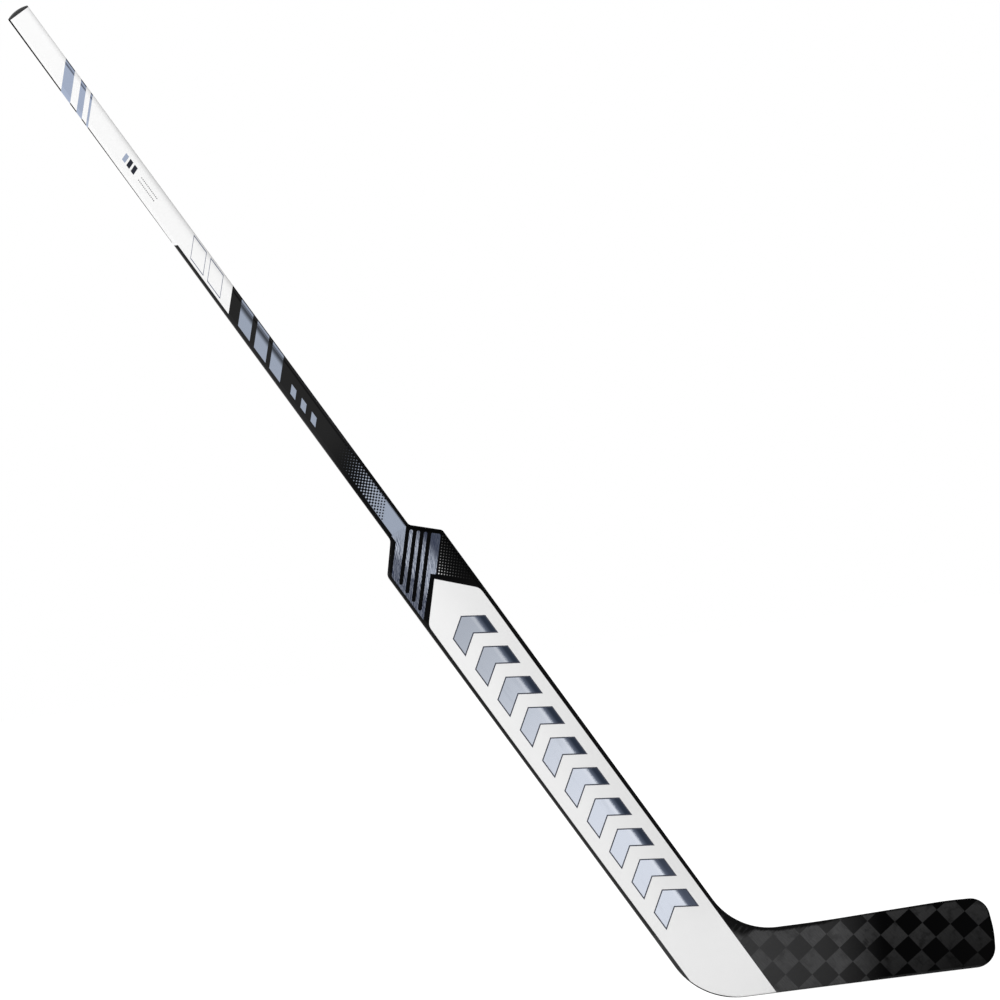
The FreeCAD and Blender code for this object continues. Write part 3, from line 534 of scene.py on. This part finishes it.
def paddle_paint():
    material, tree = new_material("paddle_paint", roughness=0.25)
    across, _, up = stick_positions(tree)
    # Painted reflection: the black is lighter lower on the paddle
    colour = plain(tree, DEEP_BLACK).covered(up.ramp(650, 540), PADDLE_FOOT_SHEEN_BLACK)
    colour = colour.covered(white_panel(across, up), shaded_white(tree, across, up))
    colour = colour.covered(shoulder_screen(across, up), WHITE)
    band = up.above(SHOULDER_TOP) * slate_band(across)  # the shaft's band goes on to the grip
    shader_input(tree, "Base Color", colour.covered(band, DULL_SLATE))
    shader_input(tree, "Metallic", band)
    heel_edge = across.below(-38.5, blur=1) * (up.ramp(760, 60) * 0.16 + 0.05)
    shader_input(tree, "Specular IOR Level", heel_edge + 0.035)
    lacquer_ripple(tree)
    return material


# Cloth, resin and paint of the blade


def tow_count(x, z, number):
    """How many tows of one set lie between the set's first edge and a point."""
    angle = radians(TOW_SLOPE[number])
    way = ((sin(angle), -cos(angle)), (cos(angle), sin(angle)))[number]
    count = x * (way[0] / TOW_WIDTH[number]) + z * (way[1] / TOW_WIDTH[number])
    return count + TOW_START[number] - x.squared() * (TOW_DRIFT if number == 0 else 0)


def carbon_cloth(tree, x, y, z):
    """Checker of two sets of tows, whose fibres shine more in one way than in the other."""
    first = tow_count(x, z, 0)
    second = tow_count(x, z, 1)
    odd = (first.combine("FLOOR") + second.combine("FLOOR")).combine("MODULO", 2)
    light = abs(odd).below(0.5, blur=0.1)
    fine, coarse = FIBRES
    dark_fibres = noise(vector_of(first * fine, second * coarse), detail=3)
    light_fibres = noise(vector_of(first * coarse, second * fine), detail=3)
    mottle = noise(vector_of(x, y, z), scale=0.075, detail=4, roughness=0.62).ramp(0.46, 0.72)

    # Painted shade: both tones fall off towards the toe
    toe_share = z * 0.002 - x.ramp(215, 262) * 0.06 + 0.12
    light_toe = plain(tree, SHADE).covered(toe_share, CLOTH_LIGHT_TOE)
    light_tone = plain(tree, CLOTH_LIGHT).covered(x.ramp(118, 178), light_toe)
    dark_tone = plain(tree, CLOTH_DARK_HEEL).covered(x.ramp(20, 120), CLOTH_DARK)
    dark_tone = dark_tone.covered(x.ramp(100, 185), CLOTH_DARK_TOE)

    clouds = mottle * (x.ramp(120, 175) * 0.3 + 0.25) + (light_fibres - 0.35).most(0) * 0.9
    light_tone = light_tone.covered(clouds, SHADE)
    dark_tone = dark_tone.covered(dark_fibres * 0.2, SHADE)
    return dark_tone.covered(light, light_tone)


def edge_resin(x, y, z):
    """Where black resin covers the cloth: along the throat, under the top edge and at the toe."""
    below_throat = distance(x - THROAT_X, z - THROAT_Z) - THROAT_RADIUS
    below_top = (x - WAIST_X) * TOP_SLOPE + WAIST_Z - z
    below_edge = below_top + (below_throat - below_top) * x.ramp(60, 40)
    with_grain, across_grain = x + z, x - z
    brush = noise(vector_of(with_grain * 0.05, across_grain * 0.35, y), detail=4, roughness=0.6)
    wisps = noise(vector_of(with_grain * 0.03, across_grain * 0.22, y), detail=5, roughness=0.65)

    reach = x.ramp(26, 4) * 11.5 + x.ramp(132, 102) * 3.2 + 1.4
    reach = reach + (brush - 0.5) * 6 * x.ramp(135, 100)
    resin = ((below_edge - reach) * (x.ramp(28, 10) * -0.65 + 1)).below(0, blur=2.6)
    thin = wisps.ramp(0.5, 0.66) * x.ramp(44, 20) * below_edge.ramp(2, 6)
    toe = (x + (z - TOE_Z).squared() * TOE_BOW).above(TOE_X, blur=0.8)
    return (resin * (thin * -0.3 + 1)).most(toe)


def blade_paint():
    material, tree = new_material("blade_paint", roughness=0.3)
    across, _, up = stick_positions(tree)
    x, y, z = positions(tree)
    # Painted shade: the resin darkens towards the toe like the cloth
    resin = plain(tree, RESIN).covered(x.ramp(110, 160), DEEP_BLACK)
    colour = carbon_cloth(tree, x, y, z).covered(edge_resin(x, y, z), resin)
    colour = colour.covered(z.ramp(3.6, 0.8) * x.ramp(150, 190), SOLE_SHEEN)

    # The white of the paddle runs down over the heel to the sole
    ease = (up - HEEL_SIDE_TOP).squared() * (up.below(HEEL_SIDE_TOP, blur=1) * HEEL_SIDE_EASE)
    from_side = across - ease
    painted = across.below(PANEL_TOE_SIDE)
    colour = colour.covered(painted * from_side.above(-HEEL_SIDE), shaded_white(tree, across, up))

    # Black edge on the heel side, lightened by a painted reflection, which goes on as a thin line
    # round the heel
    inside = distance(x.least(0), z - HEEL_RADIUS) * -1 + HEEL_RADIUS
    line = (inside - x.ramp(0, -30) * HEEL_LINE_GROWTH - HEEL_LINE_WIDTH).below(0, blur=0.2)
    line = line * up.below(HEEL_TOP, blur=1) * painted
    outside = from_side.below(-HEEL_SIDE)
    rim = abs(y).below(HEEL_RIM_HALF, blur=0.5) * up.above(HEEL_RIM_FOOT, blur=6)
    rim = rim * x.below(-14, blur=28) * across.below(20, blur=30)
    colour = colour.covered(outside.most(rim), HEEL_EDGE_SHEEN_BLACK).covered(line, HEEL_LINE)
    shader_input(tree, "Base Color", colour)
    shader_input(tree, "Specular IOR Level", outside * 0.2 + 0.02)
    lacquer_ripple(tree)
    return material


# Films and moulded materials


def grip_slate():
    """Slate film over moulded bars, with fine wavy streaks across them."""
    material, tree = new_material("grip_slate", roughness=0.3)
    across, depth, up = stick_positions(tree)
    lean = radians(STREAK_LEAN)
    beside = across * cos(lean) - up * sin(lean)
    along = up * cos(lean) + across * sin(lean)
    wobble = noise(vector_of(along * 0.11, beside * 0.25, depth))
    lines = (beside + wobble * 5).wave(STREAK_PITCH) * 0.5 + 0.5
    grain = noise(vector_of(along * 0.09, beside * 0.9, depth), detail=3, roughness=0.65)
    streaks = (lines * 0.4 + grain).ramp(0.5, 0.88)

    # The streaks are stronger towards the heel side and on the lower bars, and end at the neck
    strength = across.ramp(2, -16).most((up - across).ramp(705, 690) * 0.6)
    below_neck = up.ramp(715, 704)
    troughs = streaks.rest() * (strength * 0.6 + 0.25) * below_neck
    ridges = streaks * (strength * 0.45 + 0.1) * below_neck
    foot = across.ramp(-12.5, -24) * 0.67
    head = across.ramp(9, 25) * 0.86
    (rise, side), rounding = GRIP_CORNER
    neck = (up - across - rise) * cos(radians(45))
    corner = neck.combine("SMOOTH_MAX", across * -1 - side, rounding).above(0, blur=0.4)
    corner = corner * across.below(-20, blur=1)

    colour = plain(tree, GRIP_FILM).covered(troughs, GRIP_TROUGH).covered(ridges, GRIP_RIDGE)
    colour = colour.covered(foot.most(head), GRIP_SHADE).covered(corner, DEEP_BLACK)
    shader_input(tree, "Base Color", colour)
    shader_input(tree, "Metallic", corner.rest())
    bump(streaks, strength=0.3, distance=0.2 * MM)
    return material


def chevron_foil():
    """Metallic film of the chevrons: silver on the heel side, dark blue on the toe side."""
    material, tree = new_material("chevron_foil", roughness=0.25, Metallic=1.0)
    across, depth, up = stick_positions(tree)
    grain = noise(vector_of(across * 0.55, up * 1.1, depth), detail=4, roughness=0.7)
    sheen = noise(vector_of(across * 0.12, up * 0.02, depth))
    edge = across + (grain - 0.5) * 5
    silver = plain(tree, SILVER_TOP).covered(up.ramp(670, 270), SILVER_FOOT)
    silver = silver.covered(sheen.ramp(0.5, 0.8) * 0.2, SILVER_CLOUD)
    silver = silver.covered(edge.between(8.8, 12.3, blur=2.5) * 0.12, SILVER_GLINT)
    navy = plain(tree, NAVY_EDGE).covered(across.ramp(13.8, 20), NAVY)
    navy = navy.covered(up.ramp(250, 110) * 0.7, NAVY_FOOT)
    shader_input(tree, "Base Color", silver.covered(edge.ramp(11.4, 15.4), navy))
    return material


def outline_ink():
    material, tree = new_material("outline_ink", roughness=0.35)
    cloud = noise(vector_of(*stick_positions(tree)), scale=0.3)
    shader_input(tree, "Base Color", plain(tree, INK).covered(cloud * 0.3, LINE))
    return material


def speckled(name, base, fleck, scale, roughness):
    """A moulded or cut material with a fine grain of its own."""
    material, tree = new_material(name, roughness)
    point = vector_of(*positions(tree))
    grain = noise(point, scale, detail=4, roughness=0.6)
    shader_input(tree, "Base Color", plain(tree, base).covered(grain.ramp(0.35, 0.7), fleck))
    bump(grain, strength=0.25, distance=0.2 * MM)
    return material


def paint_nodes():
    finishes = {
        "shaft_paint": shaft_paint(),
        "paddle_paint": paddle_paint(),
        "blade_paint": blade_paint(),
        "grip_slate": grip_slate(),
    }
    for slot, look in GRAINY.items():
        finishes[slot] = speckled(*look)
    for part in frame["record"]["subparts"]:
        node = frame["nodes"][part["node"]]
        node.data.materials.clear()
        node.data.materials.append(finishes[part["material_slot"]])


# Chevrons printed along the paddle


def select(mesh, elements, test):
    """Selects those of a mesh's vertices or polygons that pass the test, in edit mode."""
    bpy.ops.mesh.select_all(action="DESELECT")
    bpy.ops.object.mode_set(mode="OBJECT")
    for element in getattr(mesh, elements):
        element.select = test(element)
    bpy.ops.object.mode_set(mode="EDIT")


def chevron(foil_material, ink):
    """One film in the XY plane: two arms that meet in a point towards +Y, and an outline."""
    bpy.ops.object.select_all(action="DESELECT")
    bpy.ops.mesh.primitive_grid_add(x_subdivisions=2, y_subdivisions=1, size=1)
    film = bpy.context.object
    mesh = film.data
    mesh.materials.append(foil_material)
    mesh.materials.append(ink)
    bpy.ops.object.mode_set(mode="EDIT")
    bpy.ops.mesh.select_mode(type="VERT")
    bpy.ops.transform.resize(value=(2 * CHEVRON_HALF * MM, CHEVRON_LENGTH * MM, 1))
    select(mesh, "vertices", lambda corner: abs(corner.co.x) < MM)
    bpy.ops.transform.translate(value=(0, CHEVRON_RISE * MM, 0))
    bpy.ops.mesh.select_mode(type="FACE")
    bpy.ops.mesh.select_all(action="SELECT")
    bpy.ops.mesh.extrude_region_move(TRANSFORM_OT_translate={"value": (0, 0, FILM * MM)})
    bpy.ops.mesh.select_all(action="SELECT")
    bpy.ops.mesh.normals_make_consistent(inside=False)
    select(mesh, "polygons", lambda face: face.normal.z > 0.9)
    bpy.ops.mesh.inset(thickness=OUTLINE * MM, use_even_offset=True)
    bpy.ops.object.mode_set(mode="OBJECT")
    for face in mesh.polygons:
        face.material_index = 0 if face.select else 1
    return film


def paddle_face(side):
    """The paddle's face on one side (-1 front, 1 back): its depth at two heights on the stick."""
    node = frame["nodes"]["paddle_skin_front" if side < 0 else "paddle_skin_back"]
    corners = [((corner.co - FOOT).dot(UP), side * corner.co.y) for corner in node.data.vertices]
    lowest = min(height for height, _ in corners)
    highest = max(height for height, _ in corners)
    low_depth = max(depth for height, depth in corners if height < lowest + 1 * MM)
    high_depth = max(depth for _, depth in corners)
    return lowest, low_depth, highest, high_depth


def print_chevrons():
    pattern = chevron(chevron_foil(), outline_ink())
    for side, name in ((-1, "front"), (1, "back")):
        lowest, low_depth, highest, high_depth = paddle_face(side)
        slope = (high_depth - low_depth) / (highest - lowest)
        out = Vector((0, side, 0))
        for number in range(CHEVRON_COUNT):
            height = (CHEVRON_FIRST - CHEVRON_PITCH * number) * MM
            depth = low_depth + slope * (height - lowest)
            along = (UP + out * slope).normalized()
            right = ACROSS * -side
            normal = right.cross(along)
            place = FOOT + UP * height + out * depth
            film = pattern.copy()
            film.data = pattern.data.copy()
            film.name = f"chevron_{name}_{number + 1:02d}"
            bpy.context.collection.objects.link(film)
            axes = Matrix((right, along, normal)).transposed().to_4x4()
            film.data.transform(Matrix.Translation(place) @ axes)
            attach(film, "root")
    bpy.data.objects.remove(pattern)


# Studio


def rays_of(tree, *kinds):
    """1 for light rays of these kinds and 0 for any other."""
    rays = tree.nodes.new("ShaderNodeLightPath")
    share, *others = [Amount(tree, rays.outputs[f"Is {kind} Ray"]) for kind in kinds]
    for other in others:
        share = share.most(other)
    return share


def diffuse(tree, colour):
    node = tree.nodes.new("ShaderNodeBsdfDiffuse")
    plug(colour, node.inputs["Color"])
    return node.outputs[0]


def studio_floor():
    """A floor that glows white to the camera and in reflections, and is plain to other light."""
    height = cad_box[0][2] - FLOOR_GAP * MM
    bpy.ops.object.select_all(action="DESELECT")
    bpy.ops.mesh.primitive_plane_add(size=FLOOR_SIZE, location=(0, 0, height))
    floor = bpy.context.object
    floor.name = "floor"
    material = bpy.data.materials.new("studio_floor")
    material.use_nodes = True
    tree = material.node_tree
    nodes, links = tree.nodes, tree.links
    nodes.clear()
    glow = nodes.new("ShaderNodeEmission")
    glow.inputs["Strength"].default_value = FLOOR_GLOW
    white = nodes.new("ShaderNodeAddShader")
    links.new(diffuse(tree, FLOOR_SHADED), white.inputs[0])
    links.new(glow.outputs[0], white.inputs[1])
    choice = nodes.new("ShaderNodeMixShader")
    plug(rays_of(tree, "Camera", "Glossy"), choice.inputs[0])
    links.new(diffuse(tree, FLOOR_PALE), choice.inputs[1])
    links.new(white.outputs[0], choice.inputs[2])
    output = nodes.new("ShaderNodeOutputMaterial")
    links.new(choice.outputs[0], output.inputs["Surface"])
    floor.data.materials.append(material)


def studio_world():
    """White behind the object, more light from its left, and a room for it to reflect."""
    world = bpy.data.worlds.new("studio")
    bpy.context.scene.world = world
    world.use_nodes = True
    tree = world.node_tree
    nodes, links = tree.nodes, tree.links
    nodes.clear()
    place = nodes.new("ShaderNodeTexCoord")
    split = nodes.new("ShaderNodeSeparateXYZ")
    links.new(place.outputs["Generated"], split.inputs[0])
    x, y, z = [Amount(tree, output) for output in split.outputs]
    right = x * ACROSS.x + z * ACROSS.z
    far = y.ramp(0.05, 0.45) * abs(right).above(0.3, blur=0.2)
    room = plain(tree, ROOM).covered(right.ramp(-0.1, -0.85), ROOM_LEFT)
    room = room.covered(right.ramp(0.1, 0.4), ROOM_MIDDLE)
    room = room.covered(right.ramp(0.55, 0.95), ROOM_RIGHT).covered(far, ROOM_FAR)
    fill = plain(tree, FILL_LEFT).covered(right.ramp(-0.1, 0.9), FILL_RIGHT)
    colour = fill.covered(rays_of(tree, "Glossy"), room)
    colour = colour.covered(rays_of(tree, "Camera", "Transmission"), BACKGROUND)
    background = nodes.new("ShaderNodeBackground")
    plug(colour, background.inputs["Color"])
    output = nodes.new("ShaderNodeOutputWorld")
    links.new(background.outputs[0], output.inputs["Surface"])


def softbox(name, position, target, size, power):
    light = bpy.data.lights.new(name, "AREA")
    light.size = size
    light.energy = power
    lamp = bpy.data.objects.new(name, light)
    bpy.context.collection.objects.link(lamp)
    lamp.location = position
    lamp.rotation_euler = (Vector(target) - Vector(position)).to_track_quat("-Z", "Y").to_euler()


def camera():
    """A long lens square to the playing face, rolled off level."""
    roll = radians(CAMERA_ROLL)
    data = bpy.data.cameras.new("camera")
    data.lens = CAMERA_LENS
    data.clip_end = CAMERA_REACH
    eye = bpy.data.objects.new("camera", data)
    bpy.context.collection.objects.link(eye)
    low, high = Vector(cad_box[0]), Vector(cad_box[1])
    target = (low + high) / 2 + CAMERA_OFFSET
    away = CAMERA_WIDTH * data.lens / data.sensor_width
    right = Vector((cos(roll), 0, -sin(roll)))
    up = Vector((sin(roll), 0, cos(roll)))
    back = Vector((0, -1, 0))
    axes = Matrix((right, up, back)).transposed().to_4x4()
    eye.matrix_world = Matrix.Translation((target.x, -away, target.z)) @ axes
    bpy.context.scene.camera = eye


paint_nodes()
print_chevrons()
studio_floor()
studio_world()
softbox("key", **KEY)
camera()
bpy.context.scene.view_settings.view_transform = "Standard"
